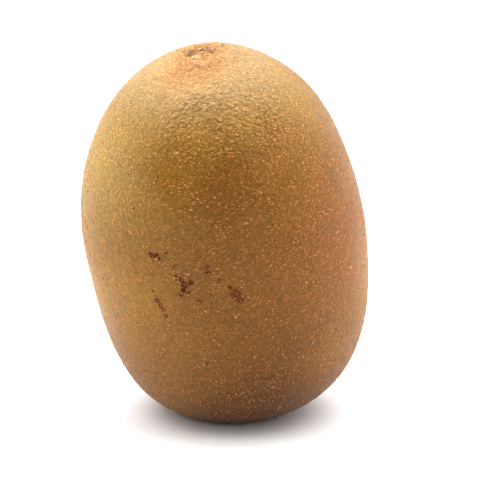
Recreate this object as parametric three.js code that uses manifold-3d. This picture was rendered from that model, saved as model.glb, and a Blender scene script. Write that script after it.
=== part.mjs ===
// A whole golden kiwi fruit, standing on its blunt stem end with a slight lean.
// The fruit grew as one piece, so it is one solid: the skin's outside with the dry hollow
// of the blossom end on top, and the stem scar and the flat resting spot underneath.
// Millimetres, +Z up, +Y away from the front. The origin is on the surface that the fruit
// stands on, under the middle of its width and depth.
import * as THREE from "three";
import { mergeVertices } from "three/addons/utils/BufferGeometryUtils.js";
import Module from "manifold-3d";

// Driving dimensions of the fruit, measured along and around its own core line.
const WIDTH = 51.2; // across the girth, left to right
const DEPTH = 48.6; // across the girth, front to back
const BLOSSOM_LENGTH = 33.3; // from the girth up to the blossom end
const STEM_LENGTH = 36.2; // from the girth down to the stem end
const BLOSSOM_FULLNESS = 2.02; // superellipse power above the girth, where 2 is an ellipse
const STEM_FULLNESS = 2.75; // the power it has grown to at the stem end, which is blunter

// Degrees that the core line leans from upright, and how much of the stem end is flat.
const LEAN_LEFT = 7.2;
const LEAN_FORWARD = 6;
const FOOT_DEPTH = 1.5;

// Broad swells and slack places of the flesh. Angles in degrees around and above the girth,
// the spread in degrees too, and the rise in millimetres, below zero where it falls in.
const SWELLS = [
  { around: 180, above: -22, spread: 30, rise: -0.2 },
  { around: 0, above: 20, spread: 30, rise: -1.0 },
  { around: 70, above: -8, spread: 30, rise: 0.4 },
  { around: 128, above: 30, spread: 26, rise: -0.4 },
  { around: 285, above: -10, spread: 32, rise: 0.3 },
];

// The dry ends: a shallow pit with a low rim where the flower was, and the cup that the
// stalk came out of. The pit sits a little off the core line, towards the front.
const ENDS = [
  { around: 270, above: 87, radius: 2.9, depth: 0.75, rim: 0.22 },
  { around: 0, above: -90, radius: 3.3, depth: 2.3, rim: 0.3 },
];
const RIM_PLACE = 1.35; // the rim's crest, in radii of its pit
const RIM_WIDTH = 0.4; // the rim's half width, in radii of its pit

// Mesh steps around the girth and from end to end, drawn closer together at the two ends.
const STEPS_AROUND = 68;
const STEPS_ALONG = 46;
const END_CROWDING = 0.2;

const radians = THREE.MathUtils.degToRad;

// The unit direction at an angle around the core line and above the girth.
function directionTo({ around, above }) {
  const level = Math.cos(radians(above));
  return new THREE.Vector3(
    level * Math.cos(radians(around)),
    level * Math.sin(radians(around)),
    Math.sin(radians(above)),
  );
}

// The fruit's plain radius along a unit direction, before any swell or pit.
function plainRadius(direction) {
  const blunting = THREE.MathUtils.smoothstep(-direction.z, 0, 1);
  const power = THREE.MathUtils.lerp(BLOSSOM_FULLNESS, STEM_FULLNESS, blunting);
  const length = direction.z > 0 ? BLOSSOM_LENGTH : STEM_LENGTH;
  const girth = Math.hypot((2 * direction.x) / WIDTH, (2 * direction.y) / DEPTH);
  return (girth ** power + Math.abs(direction.z / length) ** power) ** (-1 / power);
}

// How far the swells and slack places move the skin out along a direction.
function swellAt(direction) {
  return SWELLS.reduce((rise, swell) => {
    const angle = THREE.MathUtils.radToDeg(direction.angleTo(directionTo(swell)));
    return rise + swell.rise * Math.exp(-((angle / swell.spread) ** 2));
  }, 0);
}

// The pit and low rim of each dry end, as a change of radius along a direction.
function endRelief(direction, radius) {
  return ENDS.reduce((relief, end) => {
    const reach = (radius * direction.angleTo(directionTo(end))) / end.radius;
    const pit = -end.depth * Math.exp(-(reach ** 4));
    const rim = end.rim * Math.exp(-(((reach - RIM_PLACE) / RIM_WIDTH) ** 2));
    return relief + pit + rim;
  }, 0);
}

// The skin's point along a unit direction from the middle of the girth.
function skinPoint(direction) {
  const radius = plainRadius(direction);
  const relief = swellAt(direction) + endRelief(direction, radius);
  return direction.clone().multiplyScalar(radius + relief);
}

// A unit sphere about +Z whose rings are closer together at both ends.
function directionSphere() {
  const sphere = new THREE.SphereGeometry(1, STEPS_AROUND, STEPS_ALONG).rotateX(Math.PI / 2);
  const places = sphere.attributes.position;
  const point = new THREE.Vector3();
  for (let i = 0; i < places.count; i++) {
    point.fromBufferAttribute(places, i);
    const polar = Math.acos(THREE.MathUtils.clamp(point.z, -1, 1));
    const crowded = polar - END_CROWDING * Math.sin(2 * polar);
    const around = Math.atan2(point.y, point.x);
    places.setXYZ(
      i,
      Math.sin(crowded) * Math.cos(around),
      Math.sin(crowded) * Math.sin(around),
      Math.cos(crowded),
    );
  }
  return sphere;
}

// The whole skin as one closed surface, leaning as it stands, still round underneath.
function leaningFruit() {
  const fruit = directionSphere();
  const places = fruit.attributes.position;
  const direction = new THREE.Vector3();
  for (let i = 0; i < places.count; i++) {
    direction.fromBufferAttribute(places, i).normalize();
    const skin = skinPoint(direction);
    places.setXYZ(i, skin.x, skin.y, skin.z);
  }
  return fruit.rotateX(radians(LEAN_FORWARD)).rotateY(-radians(LEAN_LEFT));
}

// Closed three.js geometry and manifold-3d solids, each way.
const wasm = await Module();
wasm.setup();

function solidFrom(geometry) {
  const bare = geometry.clone().deleteAttribute("normal").deleteAttribute("uv");
  const merged = mergeVertices(bare, 1e-3);
  return new wasm.Manifold(
    new wasm.Mesh({
      numProp: 3,
      vertProperties: new Float32Array(merged.attributes.position.array),
      triVerts: new Uint32Array(merged.index.array),
    }),
  );
}

function geometryFrom(solid) {
  const { vertProperties, triVerts } = solid.getMesh();
  const geometry = new THREE.BufferGeometry();
  geometry.setAttribute("position", new THREE.BufferAttribute(vertProperties, 3));
  geometry.setIndex(new THREE.BufferAttribute(triVerts, 1));
  geometry.computeVertexNormals();
  return geometry;
}

// Cuts the resting spot level, then puts the origin on it under the middle of the fruit.
function standingFruit() {
  const fruit = leaningFruit();
  fruit.computeBoundingBox();
  const { min, max } = fruit.boundingBox;
  const footLevel = min.z + FOOT_DEPTH;
  const waste = new THREE.BoxGeometry(2 * WIDTH, 2 * WIDTH, WIDTH);
  waste.translate(0, 0, footLevel - WIDTH / 2);
  const standing = geometryFrom(solidFrom(fruit).subtract(solidFrom(waste)));
  return standing.translate(-(min.x + max.x) / 2, -(min.y + max.y) / 2, -footLevel);
}

const skin = new THREE.MeshStandardMaterial({ color: 0x9a7636, roughness: 0.55, metalness: 0 });
const kiwi = new THREE.Mesh(standingFruit(), skin);
kiwi.name = "kiwi_fruit";

const part = new THREE.Group();
part.add(kiwi);

export default part;
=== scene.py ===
import math

import bpy
import numpy as np
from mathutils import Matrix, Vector, noise


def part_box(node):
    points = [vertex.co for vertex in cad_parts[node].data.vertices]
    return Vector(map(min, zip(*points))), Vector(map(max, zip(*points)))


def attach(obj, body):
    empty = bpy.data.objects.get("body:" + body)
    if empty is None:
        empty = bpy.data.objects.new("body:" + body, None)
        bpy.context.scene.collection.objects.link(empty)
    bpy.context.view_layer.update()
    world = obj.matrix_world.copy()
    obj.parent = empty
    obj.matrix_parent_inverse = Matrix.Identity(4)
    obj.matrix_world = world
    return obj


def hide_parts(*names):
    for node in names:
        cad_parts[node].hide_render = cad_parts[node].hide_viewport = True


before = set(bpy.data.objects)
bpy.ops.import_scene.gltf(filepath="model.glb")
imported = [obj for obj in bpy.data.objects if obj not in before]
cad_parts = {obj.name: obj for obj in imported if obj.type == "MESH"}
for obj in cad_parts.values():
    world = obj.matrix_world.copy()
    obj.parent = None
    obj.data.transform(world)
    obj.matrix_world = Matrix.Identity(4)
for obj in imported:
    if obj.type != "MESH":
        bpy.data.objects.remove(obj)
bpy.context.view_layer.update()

# ==== The skin =========================================================================
# The whole outside of the fruit, grown in one piece over the flesh. Thin, tough and a
# little leathery: olive-gold where it is greenest, red-brown on the side that had the sun.
# It is six square patches of a ball, pushed out to the shape that the fruit grew to.
MM = 0.001
WIDTH = 51.2  # across the girth, left to right, in millimetres like every size below
DEPTH = 48.6
BLOSSOM_LENGTH = 33.3  # from the girth up to the blossom end
STEM_LENGTH = 36.2
BLOSSOM_FULLNESS = 2.02  # superellipse power, 2 for an ellipse
STEM_FULLNESS = 2.75
LEAN_LEFT = 7.2  # degrees
LEAN_FORWARD = 6.0
FOOT_SOFTNESS = 0.1  # how gently the skin turns into the flat spot that it stands on
SWELLS = (  # degrees around, degrees above the girth, spread in degrees, rise
    (180, -22, 30, -0.2),
    (0, 20, 30, -1.0),
    (70, -8, 30, 0.4),
    (128, 30, 26, -0.4),
    (285, -10, 32, 0.3),
)
BLOSSOM_END = (270, 87, 2.9, 0.75, 0.22)  # around, above, radius, depth of pit, rise of rim
STEM_END = (0, -90, 3.3, 2.3, 0.3)
RIM_PLACE = 1.35  # the rim's crest, in radii of the pit
RIM_WIDTH = 0.4
GOOSE_FLESH = (  # degrees around, degrees above the girth, spread in degrees, strength
    (268, 55, 15, 1.0),
    (302, 52, 12, 0.7),
)
LUMPS = ((0.11, 3.1), (0.035, 9.0), (0.012, 29.0))  # rise of each size, and how fine it is
CREASE_RISE = 0.05
CREASE_FINENESS = (13, 13, 24)
PATCH_STEPS = 127


def toward(around, above):
    """The unit direction at these angles around the core line and above the girth."""
    around, above = np.radians(around), np.radians(above)
    level = np.cos(above)
    return np.stack([level * np.cos(around), level * np.sin(around), np.sin(above)], -1)


def angle_from(ways, around, above):
    """How many degrees each direction is from one place on the fruit."""
    return np.degrees(np.arccos(np.clip(ways @ toward(around, above), -1, 1)))


def ease(x):
    """A smooth step, from 0 where x is 0 or less to 1 where x is 1 or more."""
    x = np.clip(x, 0, 1)
    return x * x * (3 - 2 * x)


def grown_radius(ways):
    """The smooth radius of the fruit along each direction, with its two dry ends."""
    z = ways[:, 2]
    power = BLOSSOM_FULLNESS + (STEM_FULLNESS - BLOSSOM_FULLNESS) * ease(-z)
    length = np.where(z > 0, BLOSSOM_LENGTH, STEM_LENGTH)
    girth = np.hypot(2 * ways[:, 0] / WIDTH, 2 * ways[:, 1] / DEPTH)
    plain = (girth**power + np.abs(z / length) ** power) ** (-1 / power)
    radius = plain.copy()
    for around, above, spread, rise in SWELLS:
        radius += rise * np.exp(-((angle_from(ways, around, above) / spread) ** 2))
    for around, above, size, depth, rim in (BLOSSOM_END, STEM_END):
        reach = plain * np.radians(angle_from(ways, around, above)) / size
        radius -= depth * np.exp(-(reach**4))
        radius += rim * np.exp(-(((reach - RIM_PLACE) / RIM_WIDTH) ** 2))
    return radius


def goose_flesh(ways):
    """From 0 to 1, how puckered the skin is: most on the front below the blossom end."""
    puckered = np.zeros(len(ways))
    for around, above, spread, strength in GOOSE_FLESH:
        puckered += strength * np.exp(-((angle_from(ways, around, above) / spread) ** 2))
    return np.clip(puckered, 0, 1)


def unevenness(ways):
    """The small lumps and creases of the skin along each direction, in millimetres."""
    puckered = goose_flesh(ways)
    rise = np.zeros(len(ways))
    for i, way in enumerate(ways):
        spot = Vector(way)
        crease = Vector(way * CREASE_FINENESS)
        for height, fineness in LUMPS:
            rise[i] += height * noise.noise(spot * fineness)
        rise[i] += CREASE_RISE * puckered[i] * noise.noise(crease)
    return rise


def turned(axis, degrees):
    """The matrix of a turn about the x axis or the y axis."""
    c, s = math.cos(math.radians(degrees)), math.sin(math.radians(degrees))
    if axis == "x":
        return np.array([[1, 0, 0], [0, c, -s], [0, s, c]])
    return np.array([[c, 0, s], [0, 1, 0], [-s, 0, c]])


def ball_patch(out, right, up, steps):
    """Unit directions over one sixth of a ball, with its quads by row."""
    across = np.tan(np.linspace(-math.pi / 4, math.pi / 4, steps + 1))
    u, v = np.meshgrid(across, across)
    ways = np.array(out) + u[..., None] * np.array(right) + v[..., None] * np.array(up)
    ways /= np.linalg.norm(ways, axis=-1, keepdims=True)
    corner = np.arange((steps + 1) ** 2).reshape(steps + 1, steps + 1)
    quads = np.stack([corner[:-1, :-1], corner[:-1, 1:], corner[1:, 1:], corner[1:, :-1]], -1)
    return ways.reshape(-1, 3), quads.reshape(-1, 4)


PATCHES = (
    ((0, 0, 1), (1, 0, 0), (0, 1, 0)),
    ((0, 0, -1), (1, 0, 0), (0, -1, 0)),
    ((0, -1, 0), (1, 0, 0), (0, 0, 1)),
    ((0, 1, 0), (-1, 0, 0), (0, 0, 1)),
    ((1, 0, 0), (0, 1, 0), (0, 0, 1)),
    ((-1, 0, 0), (0, -1, 0), (0, 0, 1)),
)
patch_ways, patch_quads = [], []
for patch in PATCHES:
    ways, quads = ball_patch(*patch, PATCH_STEPS)
    patch_quads.append(quads + sum(map(len, patch_ways)))
    patch_ways.append(ways)
all_ways, all_quads = np.concatenate(patch_ways), np.concatenate(patch_quads)
_, first, where = np.unique(
    np.round(all_ways, 7) + 0.0, axis=0, return_index=True, return_inverse=True
)
skin_ways, skin_quads = all_ways[first], where.reshape(-1)[all_quads]

leaning = turned("y", -LEAN_LEFT) @ turned("x", LEAN_FORWARD)
low, high = (np.array(corner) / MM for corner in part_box("kiwi_fruit"))
grown = (skin_ways * grown_radius(skin_ways)[:, None]) @ leaning.T
core = (low + high) / 2 - (grown.min(0) + grown.max(0)) / 2
core[2] = high[2] - grown[:, 2].max()
foot_level = low[2]


def settled(points):
    """Points in metres, pressed flat where the fruit's weight rests on the surface."""
    above = (points[..., 2] - foot_level) / FOOT_SOFTNESS
    points = points.copy()
    points[..., 2] = foot_level + FOOT_SOFTNESS * np.logaddexp(0, above)
    return points * MM


def on_skin(ways, lift=0.0):
    """Points in millimetres in the shared frame, on the skin or lifted off it."""
    radius = grown_radius(ways) + unevenness(ways) + lift
    return (ways * radius[:, None]) @ leaning.T + core


def skin_axes(ways):
    """For each direction: unit vectors around the fruit, towards the blossom end, and out."""
    step = 0.004
    around = np.cross([0, 0, 1.0], ways)
    around /= np.linalg.norm(around, axis=1, keepdims=True).clip(1e-6)
    onward = np.cross(ways, around)

    def at(shift):
        moved = ways + step * shift
        moved /= np.linalg.norm(moved, axis=1, keepdims=True)
        return moved * grown_radius(moved)[:, None]

    along = at(onward) - at(-onward)
    east = at(around) - at(-around)
    out = np.cross(east, along)
    east /= np.linalg.norm(east, axis=1, keepdims=True)
    out /= np.linalg.norm(out, axis=1, keepdims=True)
    north = np.cross(out, east)
    return east @ leaning.T, north @ leaning.T, out @ leaning.T


def piece_of(name, points, faces, material):
    """A smooth-shaded piece from its faces and its points, in metres in the shared frame."""
    mesh = bpy.data.meshes.new(name)
    mesh.from_pydata(points.tolist(), [], faces)
    mesh.shade_smooth()
    mesh.materials.append(material)
    piece = bpy.data.objects.new(name, mesh)
    bpy.context.scene.collection.objects.link(piece)
    return piece


def give(piece, name, values):
    """Stores one number, or one colour, at each point of a piece."""
    values = np.asarray(values, np.float32)
    kind = "FLOAT" if values.ndim == 1 else "FLOAT_COLOR"
    if values.ndim == 2:
        values = np.concatenate([values, np.ones((len(values), 1), np.float32)], 1)
    layer = piece.data.attributes.new(name, kind, "POINT")
    layer.data.foreach_set("value" if kind == "FLOAT" else "color", values.ravel())


# Colours of the ground between the hair bases, and the broad patches of each on the fruit.
GOLDEN_BROWN = (0.170, 0.068, 0.0080)
TINTS = (  # degrees around, above, spread in degrees, colour
    (200, 45, 35, (0.355, 0.220, 0.047)),
    (264, 51, 11, (0.32, 0.170, 0.022)),
    (298, 55, 12, (0.33, 0.182, 0.034)),
    (225, -12, 20, (0.26, 0.125, 0.018)),
    (235, -42, 22, (0.24, 0.105, 0.014)),
    (274, 37, 13, (0.150, 0.052, 0.0025)),
    (330, 0, 42, (0.215, 0.074, 0.010)),
    (312, 36, 18, (0.225, 0.092, 0.010)),
    # Painted shade: the underside, darkened far below the skin's own colour for the shade and
    # contact shadow where the fruit stands.
    (280, -70, 32, (0.040, 0.009, 0.0006)),
    (338, 58, 16, (0.31, 0.175, 0.036)),
    (250, 40, 11, (0.195, 0.082, 0.001)),
    # Painted rim light: olive-gold, lightened at the left edge as seen from the front.
    (188, -15, 22, (0.36, 0.205, 0.050)),
    # Painted rim light: lightened at the right edge as seen from the front.
    (352, -25, 20, (0.27, 0.125, 0.026)),
    (322, -40, 14, (0.20, 0.085, 0.014)),
    (70, 30, 40, (0.23, 0.105, 0.015)),
    (110, -25, 35, (0.175, 0.068, 0.010)),
    (160, -60, 30, (0.165, 0.066, 0.011)),
)
TINT_SHARE = 0.9
BLOOM_AND_HIGHLIGHT = (0.43, 0.29, 0.125)  # the pale film below the blossom end, lightened further by painted highlight
FILM_AND_HIGHLIGHT_SHARE = 0.8
FILM_AND_HIGHLIGHT_REACH = 21.0  # how far from the blossom scar the film and its painted highlight have faded out
FILM_AND_HIGHLIGHT_FADE = 14.0
DOWN_GROUND = (0.56, 0.285, 0.092)  # the ground under the down of the blossom end
DOWN_SHARE = 0.85
DOWN_CENTRE = (248, 82)  # degrees around and above, where the down is thickest
DOWN_REACH = 10.5
DOWN_FADE = 8.0


def from_blossom(ways):
    """How many millimetres each direction is from the middle of the blossom scar."""
    around, above = BLOSSOM_END[:2]
    return BLOSSOM_LENGTH * np.radians(angle_from(ways, around, above))


def from_down(ways):
    """How many millimetres each direction is from the thickest of the blossom end's down."""
    return BLOSSOM_LENGTH * np.radians(angle_from(ways, *DOWN_CENTRE))


def ground_colour(ways):
    """The broad colour of the skin along each direction, with painted shade underneath, painted rim
    light at the left and right edges, and painted highlight in the film below the blossom end.
    """
    colour = np.tile(np.array(GOLDEN_BROWN), (len(ways), 1))
    for around, above, spread, tint in TINTS:
        share = np.exp(-((angle_from(ways, around, above) / spread) ** 2))[:, None]
        colour += (np.array(tint) - colour) * share * TINT_SHARE
    # Painted highlight: the film is laid on more strongly on the front, where the overhead light's
    # highlight falls, than on the back.
    facing = 0.45 + 0.55 * ease((0.35 - ways[:, 1]) / 0.7)
    film_and_highlight = FILM_AND_HIGHLIGHT_SHARE * (facing * ease((FILM_AND_HIGHLIGHT_REACH - from_blossom(ways)) / FILM_AND_HIGHLIGHT_FADE))[:, None]
    colour += (np.array(BLOOM_AND_HIGHLIGHT) - colour) * film_and_highlight
    downy = DOWN_SHARE * ease((DOWN_REACH - from_down(ways)) / DOWN_FADE)[:, None]
    return colour + (np.array(DOWN_GROUND) - colour) * downy


def new_finish(name):
    """A new material, its shader, and functions to add nodes and to feed the shader.

    An added node's inputs are given by name, or by number after an underscore.
    """
    finish = bpy.data.materials.new(name)
    finish.use_nodes = True
    tree = finish.node_tree
    shader = tree.nodes["Principled BSDF"]

    def add(kind, settings=None, **inputs):
        made = tree.nodes.new(kind)
        for key, value in (settings or {}).items():
            setattr(made, key, value)
        for key, value in inputs.items():
            label = int(key[1:]) if key[0] == "_" else key.replace("_", " ")
            socket = made.inputs[label]
            if isinstance(value, bpy.types.NodeSocket):
                tree.links.new(value, socket)
            else:
                socket.default_value = value
        return made

    def feed(socket, value):
        tree.links.new(value, shader.inputs[socket])

    return finish, shader, add, feed


def mixed(add, share, first, second, blend="MIX"):
    """The colour socket of a mix of two colours."""
    mix = add(
        "ShaderNodeMix",
        {"data_type": "RGBA", "blend_type": blend, "clamp_factor": True, "clamp_result": False},
        _0=share, _6=first, _7=second,
    )
    return mix.outputs[2]


def shaded(add, colour, gain):
    """The colour socket of a colour made lighter or darker by a gain."""
    grey = add("ShaderNodeCombineColor", _0=gain, _1=gain, _2=gain).outputs[0]
    return mixed(add, 1.0, colour, grey, "MULTIPLY")


def reckoned(add, operation, first, second):
    """The value socket of one piece of arithmetic."""
    return add("ShaderNodeMath", {"operation": operation}, _0=first, _1=second).outputs[0]


def spread_over(add, value, low_in, high_in, low_out=0.0, high_out=1.0):
    """The socket of a value spread over a new range."""
    made = add("ShaderNodeMapRange", {"interpolation_type": "SMOOTHSTEP"}, _0=value, _1=low_in,
               _2=high_in, _3=low_out, _4=high_out)
    return made.outputs[0]


# Stains in the skin round the corky marks: degrees around, above, radius, and how rusty.
STAINS = (
    (240.0, 10.1, 0.72, 0.1),
    (242.0, 9.8, 0.66, 0.1),
    (240.2, 8.4, 0.52, 0.2),
    (242.9, 8.5, 0.48, 0.2),
    (246.6, 11.2, 0.40, 0.3),
    (250.3, 1.0, 0.80, 0.6),
    (252.0, -0.4, 0.62, 0.4),
    (253.0, -2.9, 0.85, 0.0),
    (255.6, -1.5, 0.70, 0.1),
    (252.0, -4.8, 0.55, 0.1),
    (250.8, -6.7, 0.65, 0.7),
    (254.0, -6.2, 0.40, 0.5),
    (249.8, 6.1, 0.42, 0.5),
    (263.0, 5.0, 0.60, 0.9),
    (263.2, 2.4, 0.58, 0.2),
    (267.3, -1.2, 0.50, 0.6),
    (271.0, -5.0, 0.62, 0.5),
    (273.2, -7.8, 1.15, 0.5),
    (274.6, -10.9, 0.75, 0.4),
    (239.6, -9.8, 0.85, 0.6),
    (240.4, -12.0, 0.70, 1.0),
    (241.2, -14.2, 0.62, 1.0),
    (242.0, -16.8, 0.55, 1.0),
    (238.1, -6.0, 0.40, 1.0),
    (231.6, 27.7, 0.22, 0.9),
    (257.9, -9.7, 0.60, 0.9),
    (323.4, -39.3, 0.30, 0.8),
)
CORK = (0.078, 0.017, 0.006, 1)
RUST = (0.170, 0.040, 0.012, 1)
DOT_GAIN = (1.75, 1.75, 2.1, 1)
CLOUD_FINENESS = 170.0  # cells of the pattern in a metre, like each fineness below
GRAIN_FINENESS = 1500.0
DOT_FINENESS = 1500.0
RAG_FINENESS = 1300.0
RAG = 0.0018  # how far the edges of the stains are shaken, in metres
RIDGE_FINENESS = 620.0

skin_finish, shader, add, feed = new_finish("kiwi skin")
place = add("ShaderNodeTexCoord").outputs["Object"]
ground = add("ShaderNodeAttribute", {"attribute_name": "ground"}).outputs["Color"]

clouds = add("ShaderNodeTexNoise", Vector=place, Scale=CLOUD_FINENESS, Detail=5.0,
             Roughness=0.6)
colour = shaded(add, ground, spread_over(add, clouds.outputs["Fac"], 0.3, 0.7, 0.93, 1.07))
grain = add("ShaderNodeTexNoise", Vector=place, Scale=GRAIN_FINENESS, Detail=3.0,
            Roughness=0.6)
colour = shaded(add, colour, spread_over(add, grain.outputs["Fac"], 0.3, 0.7, 0.80, 1.20))

# The finest hair bases, too small to be grains of their own.
flattened = add("ShaderNodeVectorMath", {"operation": "MULTIPLY"}, _0=place, _1=(1.0, 1.0, 1.7))
dots = add("ShaderNodeTexVoronoi", {"feature": "F1"}, Vector=flattened.outputs[0],
           Scale=DOT_FINENESS)
dotted = spread_over(add, dots.outputs["Distance"], 0.14, 0.42, 0.75, 0.0)
colour = mixed(add, dotted, colour, mixed(add, 1.0, colour, DOT_GAIN, "MULTIPLY"))

# Stains, with ragged edges because the place that is measured from them is shaken.
shake = add("ShaderNodeTexNoise", Vector=place, Scale=RAG_FINENESS, Detail=3.0)
shift = add("ShaderNodeVectorMath", {"operation": "SUBTRACT"}, _0=shake.outputs["Color"],
            _1=(0.5, 0.5, 0.5))
ragged = add("ShaderNodeVectorMath", {"operation": "MULTIPLY_ADD"}, _0=shift.outputs[0],
             _1=(RAG, RAG, RAG), _2=place).outputs[0]
stained = {"rust": None, "cork": None}
for around, above, radius, rust in STAINS:
    centre = settled(on_skin(toward(np.array([around]), np.array([above]))))[0]
    gap = add("ShaderNodeVectorMath", {"operation": "DISTANCE"}, _0=ragged, _1=tuple(centre))
    mask = spread_over(add, gap.outputs["Value"], radius * MM * 0.55, radius * MM * 1.2, 1.0, 0.0)
    for kind, share in (("cork", 1 - rust), ("rust", rust)):
        if share == 0:
            continue
        part = reckoned(add, "MULTIPLY", mask, share)
        if stained[kind] is not None:
            part = reckoned(add, "MAXIMUM", stained[kind], part)
        stained[kind] = part
colour = mixed(add, stained["rust"], colour, RUST)
colour = mixed(add, stained["cork"], colour, CORK)
feed("Base Color", colour)

puckers = add("ShaderNodeAttribute", {"attribute_name": "puckered"}).outputs["Fac"]
dullness = spread_over(add, clouds.outputs["Fac"], 0.3, 0.7, 0.50, 0.62)
polish = spread_over(add, puckers, 0.1, 0.9, 0.0, 0.24)
feed("Roughness", reckoned(add, "SUBTRACT", dullness, polish))
shader.inputs["Specular IOR Level"].default_value = 0.15
shader.inputs["Specular Tint"].default_value = (1.0, 0.92, 0.80, 1)
shader.inputs["Sheen Weight"].default_value = 0.14
shader.inputs["Sheen Roughness"].default_value = 0.5
shader.inputs["Sheen Tint"].default_value = (1.0, 0.9, 0.76, 1)

stretch = add("ShaderNodeVectorMath", {"operation": "MULTIPLY"}, _0=place, _1=(1.0, 1.0, 1.9))
ridges = add("ShaderNodeTexNoise", Vector=stretch.outputs[0], Scale=RIDGE_FINENESS,
             Detail=2.0)
ridge_rise = reckoned(add, "MULTIPLY", ridges.outputs["Fac"],
                      spread_over(add, puckers, 0.0, 1.0, 0.12, 0.35))
ridge_bump = add("ShaderNodeBump", Strength=1.0, Distance=0.00016, Height=ridge_rise)
dot_bump = add("ShaderNodeBump", Strength=0.8, Distance=0.00005, Height=dotted,
               Normal=ridge_bump.outputs[0])
fine_bump = add("ShaderNodeBump", Strength=0.6, Distance=0.00004, Height=grain.outputs["Fac"],
                Normal=dot_bump.outputs[0])
feed("Normal", fine_bump.outputs[0])

skin = piece_of("kiwi_skin", settled(on_skin(skin_ways)), skin_quads.tolist(), skin_finish)
give(skin, "ground", ground_colour(skin_ways))
give(skin, "puckered", goose_flesh(skin_ways))
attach(skin, "root")
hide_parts("kiwi_fruit")

# ==== The puckered skin ================================================================
# The same skin below the blossom end, on the front, where it stands up in goose flesh: low
# close bumps, wider around the fruit than along it. One fine patch, sunk at its edge.
PUCKER_CENTRE = (274, 57)  # degrees around and above
PUCKER_REACH = 17.0
PUCKER_STEPS = 230
BUMP_SIZE = 0.78
BUMP_RISE = 0.235
LEAST_RISE = 0.03  # of the skin between the bumps
EDGE_SINK = 0.07
PATCH_DEPTH = 1.2  # how far inside the fruit a patch's underside comes together
BUMP_SEED = 1795150734  # without a seed, the noise that shakes the bumps follows the clock
noise.seed_set(BUMP_SEED)


def bump_rise(ways):
    """How far the goose flesh stands off the smooth skin, below zero where there is none."""
    share = ease((goose_flesh(ways) - 0.08) / 0.6)
    rise = np.zeros(len(ways))
    for i, way in enumerate(ways * (BLOSSOM_LENGTH / BUMP_SIZE)):
        if share[i] == 0:
            continue
        spot = Vector((way[0], way[1], way[2] * 1.3))
        spot += 0.35 * noise.noise_vector(spot * 0.8)
        nearest = noise.voronoi(spot)[0][0]
        dome = max(0.0, 1 - (nearest / 0.8) ** 2)
        rise[i] = dome * (1 + 0.5 * noise.noise(spot * 0.7))
    return share * (LEAST_RISE + BUMP_RISE * rise) - EDGE_SINK * (1 - share)


def disc_grid(steps):
    """Points of an even grid over the unit disc, its quads, and its edge in order."""
    across = np.linspace(-1, 1, steps + 1)
    u, v = np.meshgrid(across, across)
    spots = np.stack([u * np.sqrt(1 - v * v / 2), v * np.sqrt(1 - u * u / 2)], -1)
    corner = np.arange((steps + 1) ** 2).reshape(steps + 1, steps + 1)
    quads = np.stack([corner[:-1, :-1], corner[:-1, 1:], corner[1:, 1:], corner[1:, :-1]], -1)
    edge = [*corner[0, :-1], *corner[:-1, -1], *corner[-1, :0:-1], *corner[:0:-1, 0]]
    return spots.reshape(-1, 2), quads.reshape(-1, 4).tolist(), [int(k) for k in edge]


def round_about(around, above, spots):
    """Directions that many millimetres to the right of and beyond one place on the fruit."""
    pole = toward(around, above)
    right = np.array([-math.sin(math.radians(around)), math.cos(math.radians(around)), 0])
    onward = np.cross(pole, right)
    far = np.hypot(spots[:, 0], spots[:, 1])
    angle = (far / BLOSSOM_LENGTH)[:, None]
    aim = spots / far.clip(1e-9)[:, None]
    sideways = aim[:, :1] * right + aim[:, 1:] * onward
    return np.cos(angle) * pole + np.sin(angle) * sideways


def patch_on_skin(name, around, above, reach, steps, lift_at, material):
    """A closed patch over the skin, with its underside out of sight inside the fruit.

    Returns the piece, and each point's direction and place on the patch.
    """
    spots, quads, edge = disc_grid(steps)
    spots = spots * reach
    ways = round_about(around, above, spots)
    centre = np.zeros((1, 2))
    pole = round_about(around, above, centre)
    points = np.concatenate([on_skin(ways, lift_at(ways, spots)), on_skin(pole, -PATCH_DEPTH)])
    under = len(spots)
    fan = [(edge[k], edge[k - 1], under) for k in range(len(edge))]
    piece = piece_of(name, settled(points), quads + fan, material)
    return piece, np.concatenate([ways, pole]), np.concatenate([spots, centre])


def pucker_relief(ways, spots):
    """The goose flesh, with the patch's edge pulled under the skin."""
    at_edge = np.hypot(*spots.T) > 0.99 * PUCKER_REACH
    return bump_rise(ways) - 0.2 * at_edge


puckered, ways, _ = patch_on_skin(
    "puckered_skin", *PUCKER_CENTRE, PUCKER_REACH, PUCKER_STEPS, pucker_relief, skin_finish
)
give(puckered, "ground", ground_colour(ways))
give(puckered, "puckered", goose_flesh(ways))
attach(puckered, "root")

# ==== The hair bases ===================================================================
# The stubs of the short hairs that rubbed off: thousands of tan grains of dead felt, each
# growing out of the skin and lying nearly flat. The larger ones and the finer ones, above
# and below the girth, are each one piece of many closed grains.
BAKE_MAP = "OFBake"  # the flat map that a piece of grains brings for its looks
GRAIN_RINGS = ((-1.0, 0.9), (0.3, 1.0))  # level and reach of each ring of a grain's corners
GRAIN_SINK = 0.3  # how much of a grain's height is under the skin
SPARE_TRIES = 2.2  # places tried for each one wanted
WIDEST_STRETCH = 1.35  # the fruit's area over that of the plain ball, where it is widest
GOOSE_EXTRA = 0.6  # how many more of them there are on the goose flesh
MOST_SHARE = 1.62  # the most that the two together can come to
FOOT_MARGIN = 0.3  # none grow closer than this to the surface that the fruit stands on
FLECK_FINENESS = 4200.0
rng = np.random.default_rng(41)


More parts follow.
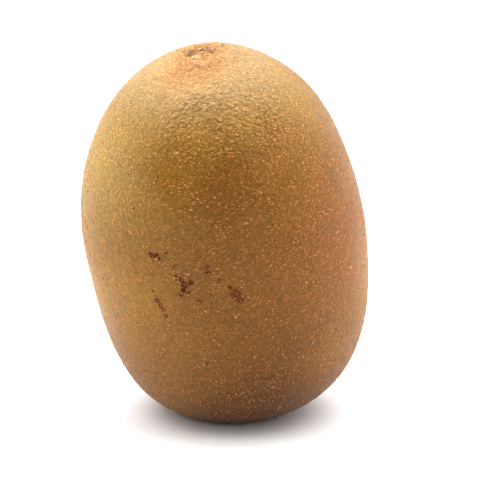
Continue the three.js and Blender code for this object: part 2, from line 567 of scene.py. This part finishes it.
def strewn(per_mm2, gap, rng):
    """Random directions, evenly thick over the skin's area and no closer than a gap."""
    area = 4 * math.pi * BLOSSOM_LENGTH**2
    tries = rng.normal(size=(int(area * per_mm2 * SPARE_TRIES), 3))
    tries /= np.linalg.norm(tries, axis=1, keepdims=True)
    radius = grown_radius(tries)
    _, _, out = skin_axes(tries)
    facing = np.sum(out * (tries @ leaning.T), axis=1)
    share = radius**2 / facing / BLOSSOM_LENGTH**2 / WIDEST_STRETCH
    share = share * (1 + GOOSE_EXTRA * goose_flesh(tries))
    tries = tries[rng.random(len(tries)) < share / MOST_SHARE]
    tries = tries[on_skin(tries)[:, 2] > foot_level + FOOT_MARGIN]
    points = tries * grown_radius(tries)[:, None]
    taken = {}
    kept = []
    for i, cell in enumerate(np.floor(points / gap).astype(int).tolist()):
        beside = [
            j
            for dx in (-1, 0, 1) for dy in (-1, 0, 1) for dz in (-1, 0, 1)
            for j in taken.get((cell[0] + dx, cell[1] + dy, cell[2] + dz), ())
        ]
        if beside and np.min(np.sum((points[beside] - points[i]) ** 2, axis=1)) < gap**2:
            continue
        taken.setdefault(tuple(cell), []).append(i)
        kept.append(i)
    return tries[kept]


def grain_faces(sides, rings):
    """The faces of one closed grain, whose corners go ring by ring up to its crown."""
    faces = [tuple(range(sides))[::-1]]
    for ring in range(rings - 1):
        for k in range(sides):
            a, b = ring * sides + k, ring * sides + (k + 1) % sides
            faces.append((a, b, b + sides, a + sides))
    last = (rings - 1) * sides
    for k in range(sides):
        faces.append((last + k, last + (k + 1) % sides, last + sides))
    return faces


def grains(name, ways, length, width, height, turn, tilt, material, sides, rings, rng):
    """One piece of closed grains, each lying on the skin, turned and tilted its own way."""
    count = len(ways)
    corners = sides * len(rings) + 1
    start = rng.uniform(0, math.tau, (count, 1, 1))
    angle = start + math.tau * np.arange(sides) / sides
    reach = np.array([reach for _, reach in rings])[:, None]
    reach = reach * rng.uniform(0.8, 1.2, (count, len(rings), sides))
    shape = np.zeros((count, corners, 3))
    shape[:, :-1, 0] = (reach * np.cos(angle)).reshape(count, -1)
    shape[:, :-1, 1] = (reach * np.sin(angle)).reshape(count, -1)
    shape[:, :-1, 2] = np.repeat([level for level, _ in rings], sides)
    shape[:, -1, 2] = 1.0
    east, north, out = skin_axes(ways)
    c, s = np.cos(turn)[:, None], np.sin(turn)[:, None]
    long_way, wide_way = c * east + s * north, c * north - s * east
    ct, st = np.cos(tilt)[:, None], np.sin(tilt)[:, None]
    long_way, up_way = ct * long_way + st * out, ct * out - st * long_way
    middle = on_skin(ways, bump_rise(ways).clip(0))
    middle = middle + out * (height * (0.5 - GRAIN_SINK))[:, None]
    sized_axes = ((length, long_way), (width, wide_way), (height, up_way))
    points = middle[:, None] + sum(
        0.5 * size[:, None, None] * shape[:, :, k, None] * axis[:, None]
        for k, (size, axis) in enumerate(sized_axes)
    )
    one = grain_faces(sides, len(rings))
    all_faces = [tuple(i * corners + k for k in face) for i in range(count) for face in one]
    piece = piece_of(name, settled(points.reshape(-1, 3)), all_faces, material)
    across = np.arctan2(ways[:, 1], ways[:, 0]) / math.tau + 0.5
    flat = np.stack([across, ways[:, 2] / 2 + 0.5], -1)
    flat = flat[:, None] + shape[:, :, :2] * length[:, None, None] / (4 * WIDTH)
    map_layer = piece.data.uv_layers.new(name=BAKE_MAP)
    vertex = np.zeros(len(piece.data.loops), np.int32)
    piece.data.loops.foreach_get("vertex_index", vertex)
    flat = flat.reshape(-1, 2).clip(0, 1)[vertex]
    map_layer.uv.foreach_set("vector", flat.astype(np.float32).ravel())
    return piece, corners


def felt_finish(name, roughness, sheen):
    """Dry felt in each grain's or hair's own colour, a little lighter and darker in flecks."""
    finish, shader, add, feed = new_finish(name)
    own = add("ShaderNodeAttribute", {"attribute_name": "ground"}).outputs["Color"]
    place = add("ShaderNodeTexCoord").outputs["Object"]
    fleck = add("ShaderNodeTexNoise", Vector=place, Scale=FLECK_FINENESS, Detail=2.0)
    flecked = spread_over(add, fleck.outputs["Fac"], 0.3, 0.7, 0.85, 1.15)
    feed("Base Color", shaded(add, own, flecked))
    dullness = spread_over(add, fleck.outputs["Fac"], 0.3, 0.7, roughness - 0.08, roughness + 0.08)
    feed("Roughness", dullness)
    shader.inputs["Specular IOR Level"].default_value = 0.12
    shader.inputs["Sheen Weight"].default_value = sheen
    bump = add("ShaderNodeBump", Strength=0.5, Distance=0.00002, Height=fleck.outputs["Fac"])
    feed("Normal", bump.outputs[0])
    return finish


def lie_of_felt(ways):
    """How far the hair bases are turned from lying around the fruit, in radians."""
    above = np.degrees(np.arcsin(ways[:, 2]))
    around = np.degrees(np.arctan2(ways[:, 1], ways[:, 0])) % 360
    left = ease((255 - around) / 35) * ease((around - 160) / 20)
    return 0.12 + 1.3 * ease((-15 - above) / 35) - 0.65 * left * ease((60 - above) / 20)


FELT_LIFT = np.array((0.240, 0.092, 0.038))  # how much lighter than its ground a base is
FELT_LIFT_ABOVE = np.array((0.24, 0.10, 0.03))  # the same, but oranger, at the blossom end
PAINTED_RIM_LIFT = 0.4  # painted rim light: how much more the bases at the left and right edges, seen from the front, are lightened
LIFT_SPREAD = (0.95, 0.32)  # the middle and the spread of one base's share of the lightening
LIFT_LIMITS = (-0.1, 1.45)
hair_base_finish = felt_finish("hair base felt", 0.5, 0.0)
HAIR_BASES = (  # name, how many in a mm2, least gap, length, height, sides, rings of corners
    ("hair_bases", 1.35, 0.42, 0.48, 0.10, 6, GRAIN_RINGS),
    ("fine_hair_bases", 3.3, 0.24, 0.37, 0.08, 5, GRAIN_RINGS[:1]),
)
for name, per_mm2, gap, long_mm, tall_mm, sides, rings in HAIR_BASES:
    strewn_ways = strewn(per_mm2, gap, rng)
    upper = strewn_ways[:, 2] > 0
    for half, ways in (("upper", strewn_ways[upper]), ("lower", strewn_ways[~upper])):
        count = len(ways)
        size = long_mm * rng.lognormal(0, 0.2, count)
        piece, corners = grains(
            f"{half}_{name}", ways,
            length=size, width=size * rng.uniform(0.34, 0.62, count),
            height=tall_mm * rng.uniform(0.7, 1.3, count),
            turn=lie_of_felt(ways) + rng.normal(0, 0.4, count),
            tilt=rng.normal(0, 0.10, count),
            material=hair_base_finish, sides=sides, rings=rings, rng=rng,
        )
        above = ease((18 - from_blossom(ways)) / 10)[:, None]
        lift = FELT_LIFT + (FELT_LIFT_ABOVE - FELT_LIFT) * above
        # Painted rim light: bases towards the left and right edges, seen from the front, are
        # lightened, but not those facing the front or the back.
        side = ease((ways[:, 1] + 0.95) / 0.6) * ease((0.5 - ways[:, 1]) / 0.5)
        lift = lift * (1 + PAINTED_RIM_LIFT * side)[:, None]
        lift = lift * rng.normal(*LIFT_SPREAD, (count, 1)).clip(*LIFT_LIMITS)
        tone = (ground_colour(ways) * 0.95 + lift).clip(0.004, 0.9)
        give(piece, "ground", np.repeat(tone, corners, axis=0))
        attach(piece, "root")

# ==== The blossom scar =================================================================
# Corky tissue that closed the hollow where the flower's ring broke away: dry, cracked and
# lumpy, with painted shade in dark brown along its far wall, grey at the right, and a few pale
# flakes.
SCAR_REACH = 3.9
SCAR_STEPS = 84
SCAR_TAN = (0.40, 0.20, 0.070)
SCAR_CREAM = (0.66, 0.50, 0.35)
# painted shade: the dark brown laid along the far wall of the hollow
SCAR_WALL_SHADE = (0.065, 0.020, 0.007)
SCAR_GREY = (0.27, 0.19, 0.13)
SCAR_WALL = 2.1  # how far from the middle its far wall stands
FLAKE_FINENESS = 3200.0


def noise_at(ways, fineness, shift=(0, 0, 0)):
    """Smooth noise along each direction, the same every time."""
    return np.array([noise.noise(Vector(way) * fineness + Vector(shift)) for way in ways])


def near(spots, right, onward, reach):
    """From 1 at one place of a patch down to 0 some millimetres from it."""
    return np.exp(-(np.hypot(spots[:, 0] - right, spots[:, 1] - onward) / reach) ** 2)


def scar_relief(ways, spots):
    """How far the cork stands off the skin: filled in front, lumpy, cracked, sunk at its edge."""
    far = np.hypot(*spots.T) + 0.7 * noise_at(ways, 28, (1, 7, 3))
    filled = 0.06 + 0.34 * ease((2.7 - far) / 1.4)
    in_front = ease((0.9 - spots[:, 1]) / 1.8)
    filled += 0.26 * in_front * ease((3.5 - far) / 0.9)
    cracks = np.exp(-np.abs(noise_at(ways, 34, (5, 5, 5))) / 0.06)
    lumpy = 0.15 * noise_at(ways, 70) - 0.10 * cracks * (far < 2.4)
    return filled + lumpy - 0.6 * ease((far - 2.9 - 0.3 * in_front) / 0.8)


cork_finish, shader, add, feed = new_finish("scar cork")
place = add("ShaderNodeTexCoord").outputs["Object"]
ground = add("ShaderNodeAttribute", {"attribute_name": "ground"}).outputs["Color"]
flake = add("ShaderNodeTexNoise", Vector=place, Scale=FLAKE_FINENESS, Detail=4.0, Roughness=0.65)
feed("Base Color", shaded(add, ground, spread_over(add, flake.outputs["Fac"], 0.3, 0.7, 0.6, 1.4)))
feed("Roughness", spread_over(add, flake.outputs["Fac"], 0.3, 0.7, 0.62, 0.85))
shader.inputs["Specular IOR Level"].default_value = 0.12
flake_bump = add("ShaderNodeBump", Strength=0.8, Distance=0.00005, Height=flake.outputs["Fac"])
feed("Normal", flake_bump.outputs[0])

scar, ways, spots = patch_on_skin(
    "blossom_scar", *BLOSSOM_END[:2], SCAR_REACH, SCAR_STEPS, scar_relief, cork_finish
)
rightward, onward = spots.T
far = np.hypot(rightward, onward)
tone = noise_at(ways, 45)
speck = noise_at(ways, 85, (9, 2, 4))
# Painted shade: a dark band along the far wall of the hollow, on the side away from the front,
# where the wall's shade falls.
painted_wall_shade = np.exp(-(((far - SCAR_WALL + 0.5 * tone) / 0.32) ** 2))
painted_wall_shade *= ease((onward - 0.9 + speck) / 0.5)
painted_wall_shade *= ease((1.6 - rightward) / 0.8) * ease((0.8 + speck) / 0.4)
greyed = 0.75 * near(spots, 1.9, 1.5, 0.9)
pale = near(spots, -0.5, 1.3, 0.8) + near(spots, -1.1, -1.5, 0.9)
pale *= ease((speck - 0.1) / 0.2)
outer = ease((far - 2.4) / 0.9)
colour = np.array(SCAR_TAN) * (1 + 0.4 * tone + 0.35 * speck)[:, None]
colour += (SCAR_GREY - colour) * greyed[:, None]
colour += (SCAR_WALL_SHADE - colour) * painted_wall_shade[:, None]
colour += (SCAR_CREAM - colour) * pale.clip(0, 0.65)[:, None]
colour += (ground_colour(ways) * 0.8 - colour) * outer[:, None]
give(scar, "ground", colour.clip(0.01, 1))
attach(scar, "root")

# ==== The dry styles ===================================================================
# What is left of the flower in its scar: thin dry threads, brown to straw, curled and
# pressed together, each rooted in the cork, with one stray bit on the rim at the right.
rng = np.random.default_rng(77)


def bent_hairs(name, ways, length, thick, heading, rise, droop, material, steps=2, sides=3,
               lift=0.0, sway=0.0):
    """One piece of closed, tapering hairs that bend over towards the skin.

    Heading, rise and droop are in radians: which way each lies, and how steep it starts
    and how far it comes down. Returns the piece and how many corners one hair has.
    """
    east, north, out = skin_axes(ways)
    flat = np.cos(heading)[:, None] * east + np.sin(heading)[:, None] * north
    side = np.cross(out, flat)
    start = on_skin(ways, lift) - 0.05 * out
    rings = []
    for k in range(steps + 2):
        t = k / (steps + 1)
        lean = rise - droop * t
        middle = start + (t * length)[:, None] * (
            np.cos(lean)[:, None] * flat + np.sin(lean)[:, None] * out
            + (sway * t * t * np.ones(len(ways)))[:, None] * side
        )
        if k > steps:
            rings.append(middle)
            continue
        reach = 0.5 * thick * (1 - 0.55 * t)
        for corner in range(sides):
            angle = math.tau * corner / sides
            rings.append(middle + reach[:, None] * (math.cos(angle) * side + math.sin(angle) * out))
    points = np.stack(rings, 1)
    corners = points.shape[1]
    faces = [tuple(range(sides))[::-1]]
    for k in range(steps):
        for corner in range(sides):
            a, b = sides * k + corner, sides * k + (corner + 1) % sides
            faces.append((a, b, b + sides, a + sides))
    for corner in range(sides):
        faces.append((sides * steps + corner, sides * steps + (corner + 1) % sides, corners - 1))
    all_faces = [tuple(i * corners + k for k in f) for i in range(len(ways)) for f in faces]
    return piece_of(name, settled(points.reshape(-1, 3)), all_faces, material), corners


STYLE_DARK = np.array((0.05, 0.018, 0.007))
STYLE_STRAW = np.array((0.50, 0.31, 0.15))
STYLE_COUNT = 30
STYLE_REACH = 2.6
STRAYS = ((4.0, 2.3), (4.2, 2.1))  # millimetres right of and beyond the middle of the scar
turn = rng.uniform(0, math.tau, STYLE_COUNT)
far = STYLE_REACH * np.sqrt(rng.random(STYLE_COUNT))
spots = np.stack([far * np.cos(turn), np.abs(far * np.sin(turn)) - 0.3], -1)
ways = round_about(*BLOSSOM_END[:2], np.concatenate([spots, STRAYS]))
count = len(ways)
styles, corners = bent_hairs(
    "dry_styles", ways,
    length=np.r_[rng.uniform(0.5, 1.3, STYLE_COUNT), 0.5, 0.45],
    thick=np.r_[rng.uniform(0.09, 0.17, STYLE_COUNT), 0.22, 0.18],
    heading=rng.uniform(0, math.tau, count),
    rise=rng.uniform(0.1, 0.6, count),
    droop=rng.uniform(0.1, 0.7, count),
    material=felt_finish("dry style", 0.6, 0.0),
    steps=4, sides=5, lift=0.35, sway=rng.normal(0, 0.5, count),
)
share = np.r_[rng.beta(0.8, 1.2, STYLE_COUNT), 0.3, 0.4][:, None]
tone = STYLE_DARK + (STYLE_STRAW - STYLE_DARK) * share
give(styles, "ground", np.repeat(tone, corners, axis=0))
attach(styles, "root")

# ==== The blossom-end down =============================================================
# Hairs that never rubbed off, matted round the dry hollow where the flower was. Short,
# soft and peach-coloured, each bent over and tapering to nothing, grown from the skin.
DOWN_COUNT = 9000
DOWN_ORANGE = np.array((0.62, 0.295, 0.080))
DOWN_PEACH = np.array((0.84, 0.54, 0.27))
DOWN_START = 2.4  # how far from the middle of the scar it starts
DOWN_SPREAD = 2.6
FRONT_SHARE = 0.45  # of the hairs, in one patch on the front
FRONT_CENTRE = (-1.0, -4.6)
FRONT_SPREAD = (3.2, 1.9)
BARE_REACH = 2.0  # of the scar, where none grow


def downy_places(count, rng):
    """Where the down grows: round the scar, and most of all on its front."""
    turn = rng.uniform(0, math.tau, count)
    far = DOWN_START + np.abs(rng.normal(0, DOWN_SPREAD, count))
    spots = np.stack([far * np.cos(turn), far * np.sin(turn)], -1)
    front = rng.random(count) < FRONT_SHARE
    spots[front] = rng.normal(FRONT_CENTRE, FRONT_SPREAD, (front.sum(), 2))
    return spots[np.hypot(spots[:, 0], spots[:, 1] - 0.6) > BARE_REACH]


ways = round_about(*BLOSSOM_END[:2], downy_places(DOWN_COUNT, rng))
count = len(ways)
down, corners = bent_hairs(
    "blossom_down", ways,
    length=rng.uniform(0.25, 0.75, count),
    thick=rng.uniform(0.06, 0.11, count),
    heading=rng.uniform(0, math.tau, count),
    rise=rng.uniform(0.05, 0.55, count),
    droop=rng.uniform(0.1, 0.5, count),
    material=felt_finish("blossom down", 0.55, 0.2), lift=bump_rise(ways).clip(0),
)
share = (rng.normal(0.45, 0.10, count) + 0.8 * noise_at(ways, 42)).clip(0, 1)[:, None]
tone = DOWN_ORANGE + (DOWN_PEACH - DOWN_ORANGE) * share
give(down, "ground", np.repeat(tone, corners, axis=0))
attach(down, "root")

# ==== The corky marks ==================================================================
# Scars of old rubs and bites on the front: the skin's own cork, dark and crusted, with
# rusty grains, an orange heart in the uppermost mark, and one pale fleck near the top.
CRUMB_FINENESS = 5200.0
rng = np.random.default_rng(5)
crust_finish, shader, add, feed = new_finish("crusted cork")
ground = add("ShaderNodeAttribute", {"attribute_name": "ground"}).outputs["Color"]
place = add("ShaderNodeTexCoord").outputs["Object"]
crumb = add("ShaderNodeTexNoise", Vector=place, Scale=CRUMB_FINENESS, Detail=3.0, Roughness=0.6)
feed("Base Color", shaded(add, ground, spread_over(add, crumb.outputs["Fac"], 0.3, 0.7, 0.7, 1.3)))
feed("Roughness", spread_over(add, crumb.outputs["Fac"], 0.3, 0.7, 0.5, 0.8))
shader.inputs["Specular IOR Level"].default_value = 0.03
crumb_bump = add("ShaderNodeBump", Strength=0.6, Distance=0.00003, Height=crumb.outputs["Fac"])
feed("Normal", crumb_bump.outputs[0])

CRUST_DARK = np.array((0.072, 0.016, 0.006))
CRUST_RUST = np.array((0.20, 0.050, 0.015))
CRUST_ORANGE = np.array((0.50, 0.175, 0.040))
CRUST_PALE = np.array((0.72, 0.54, 0.34))
CRUST_RINGS = ((-1.0, 0.85), (0.0, 1.0), (0.8, 0.6))  # level and reach, as on a hair base
PER_MM2 = 17.0
ORANGE_SHARE = 0.05  # of the grains of a dark mark
HEART = (241.2, 8.5)  # degrees around and above: the orange heart of the uppermost mark
HEART_GRAINS = 28
FLECK = (239.0, 69.6)
FLECK_GRAINS = (-0.55, -0.3, -0.05, 0.2, 0.45, 0.7)  # millimetres along the pale fleck
places = []
tones = []
sizes = []


def lay(around, above, spot, tone, size):
    """Adds one grain of crust, that many millimetres off one place on the fruit."""
    places.append(round_about(around, above, np.array([spot]))[0])
    tones.append(tone)
    sizes.append(size)


for around, above, radius, rust in STAINS:
    for _ in range(max(3, int(PER_MM2 * math.pi * radius**2))):
        turn = rng.uniform(0, math.tau)
        far = radius * 0.95 * math.sqrt(rng.random())
        tone = CRUST_RUST if rng.random() < rust else CRUST_DARK
        if rng.random() > ORANGE_SHARE:
            tone = tone * rng.uniform(0.5, 1.3)
        else:
            tone = CRUST_ORANGE * 0.6
        spot = (far * math.cos(turn), far * math.sin(turn))
        lay(around, above, spot, tone, rng.uniform(0.12, 0.30))
for _ in range(HEART_GRAINS):
    spot = rng.normal((0, -0.1), (0.42, 0.3))
    lay(*HEART, spot, CRUST_ORANGE * rng.uniform(0.7, 1.05), rng.uniform(0.2, 0.36))
for shift in FLECK_GRAINS:
    lay(*FLECK, (shift, 0.12 * shift), CRUST_PALE * rng.uniform(0.8, 1.1), 0.22)
ways, sizes = np.array(places), np.array(sizes)
count = len(ways)
crust, corners = grains(
    "corky_marks", ways,
    length=sizes * rng.uniform(1.0, 1.6, count), width=sizes,
    height=sizes * rng.uniform(0.10, 0.25, count),
    turn=rng.normal(0, 0.8, count), tilt=rng.normal(0, 0.18, count),
    material=crust_finish, sides=6, rings=CRUST_RINGS, rng=rng,
)
give(crust, "ground", np.repeat(np.array(tones), corners, axis=0))
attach(crust, "root")

# ==== The bristle ======================================================================
# The one long hair that is left, low on the front, grown from the skin: pale and stiff,
# thinner towards its tip, and bent against the skin.
BRISTLE_ROOT = (288.8, -61.0)  # degrees around and above
BRISTLE_STRAW = (0.70, 0.50, 0.30)
bristle, corners = bent_hairs(
    "bristle", toward(*BRISTLE_ROOT)[None],
    length=np.array([2.7]), thick=np.array([0.12]), heading=np.array([1.5]),
    rise=np.array([0.25]), droop=np.array([0.2]),
    material=felt_finish("bristle", 0.45, 0.0), steps=7, sides=6,
)
give(bristle, "ground", np.tile(BRISTLE_STRAW, (corners, 1)))
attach(bristle, "root")

# ==== The stem scar ====================================================================
# Underneath, in the cup that the stalk came out of: a plug of dry brown wood with the cut
# ends of the vessels in a ring, closed over by cork.
STEM_REACH = 3.0
STEM_STEPS = 60
STEM_BROWN = (0.16, 0.075, 0.030)
VESSEL_RING = 1.35  # how far from the middle the vessels stand
VESSELS = 11


def stem_relief(ways, spots):
    """How far the wood stands off the cup: a domed plug, vessel ends, and a sunk edge."""
    far = np.hypot(*spots.T)
    turn = np.arctan2(spots[:, 1], spots[:, 0])
    ring = 0.16 * np.exp(-(((far - VESSEL_RING) / 0.3) ** 2))
    vessels = ring * (0.5 + 0.5 * np.cos(VESSELS * turn))
    wood = 0.08 * noise_at(ways, 60)
    return 0.35 * ease((2.6 - far) / 1.2) + vessels + wood - 0.25 * ease((far - 2.4) / 0.6)


stem_scar, ways, _ = patch_on_skin(
    "stem_scar", *STEM_END[:2], STEM_REACH, STEM_STEPS, stem_relief, cork_finish
)
colour = np.array(STEM_BROWN) * (1 + 0.6 * noise_at(ways, 50))[:, None]
give(stem_scar, "ground", colour.clip(0.01, 1))
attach(stem_scar, "root")

# ==== Floor, light and camera ==========================================================
# A plain white floor under plain soft light: white all round, one large soft light above
# and behind, and a dark board in front that keeps the near side of the fruit from glaring.
SENSOR = 36.0
CAMERA_FAR = 600.0
CAMERA_ABOVE = 17.0  # degrees
FIELD = 89.9  # width of the view at the fruit
AIM = (4.47, 0.0, 34.0)
AIM_DROP = 3.89
FLOOR_HALF = 3.0  # metres, like the lamp and the board
LAMP_PLACE = (0.0, 0.15, 0.8)
LAMP_TARGET = (0.0, 0.0, 0.04)
LAMP_SIZE = (1.5, 0.9)
LAMP_WATTS = 11.2
BOARD_AHEAD = 0.38
BOARD_HALF = 0.6
BOARD_HEIGHT = 0.8

floor_finish, shader, add, feed = new_finish("white floor")
shader.inputs["Base Color"].default_value = (0.9, 0.9, 0.9, 1)
shader.inputs["Roughness"].default_value = 0.7
shader.inputs["Specular IOR Level"].default_value = 0.2
floor_points = FLOOR_HALF * np.array([(-1, -1, 0), (1, -1, 0), (1, 1, 0), (-1, 1, 0)])
floor = piece_of("floor", floor_points, [(0, 1, 2, 3)], floor_finish)

world = bpy.data.worlds.new("white room")
bpy.context.scene.world = world
world.use_nodes = True
world.node_tree.nodes["Background"].inputs["Color"].default_value = (1.0, 1.0, 1.0, 1)
world.node_tree.nodes["Background"].inputs["Strength"].default_value = 2.0

lamp = bpy.data.objects.new("overhead light", bpy.data.lights.new("overhead light", "AREA"))
bpy.context.scene.collection.objects.link(lamp)
lamp.data.shape = "RECTANGLE"
lamp.data.size, lamp.data.size_y = LAMP_SIZE
lamp.data.energy = LAMP_WATTS
lamp.location = LAMP_PLACE
lamp.rotation_mode = "QUATERNION"
lamp.rotation_quaternion = (Vector(LAMP_TARGET) - Vector(LAMP_PLACE)).to_track_quat("-Z", "Y")
lamp.visible_camera = False

board_finish, shader, add, feed = new_finish("dark board")
shader.inputs["Base Color"].default_value = (0.02, 0.02, 0.02, 1)
board_size = np.array((BOARD_HALF, BOARD_AHEAD, BOARD_HEIGHT))
board_points = board_size * np.array([(-1, -1, 0), (1, -1, 0), (1, -1, 1), (-1, -1, 1)])
board = piece_of("dark_board", board_points, [(0, 1, 2, 3)], board_finish)
board.visible_camera = False

camera = bpy.data.objects.new("camera", bpy.data.cameras.new("camera"))
bpy.context.scene.collection.objects.link(camera)
camera.data.sensor_width = SENSOR
camera.data.lens = SENSOR * CAMERA_FAR / FIELD
camera.data.clip_start, camera.data.clip_end = 0.01, 20.0
tilt = math.radians(CAMERA_ABOVE)
ahead = Vector((0, math.cos(tilt), -math.sin(tilt)))
up = Vector((0, math.sin(tilt), math.cos(tilt)))
target = (Vector(AIM) - AIM_DROP * up) * MM
camera.location = target - ahead * CAMERA_FAR * MM
camera.rotation_mode = "QUATERNION"
camera.rotation_quaternion = ahead.to_track_quat("-Z", "Y")
bpy.context.scene.camera = camera
bpy.context.scene.view_settings.view_transform = "Standard"
bpy.context.scene.view_settings.look = "None"
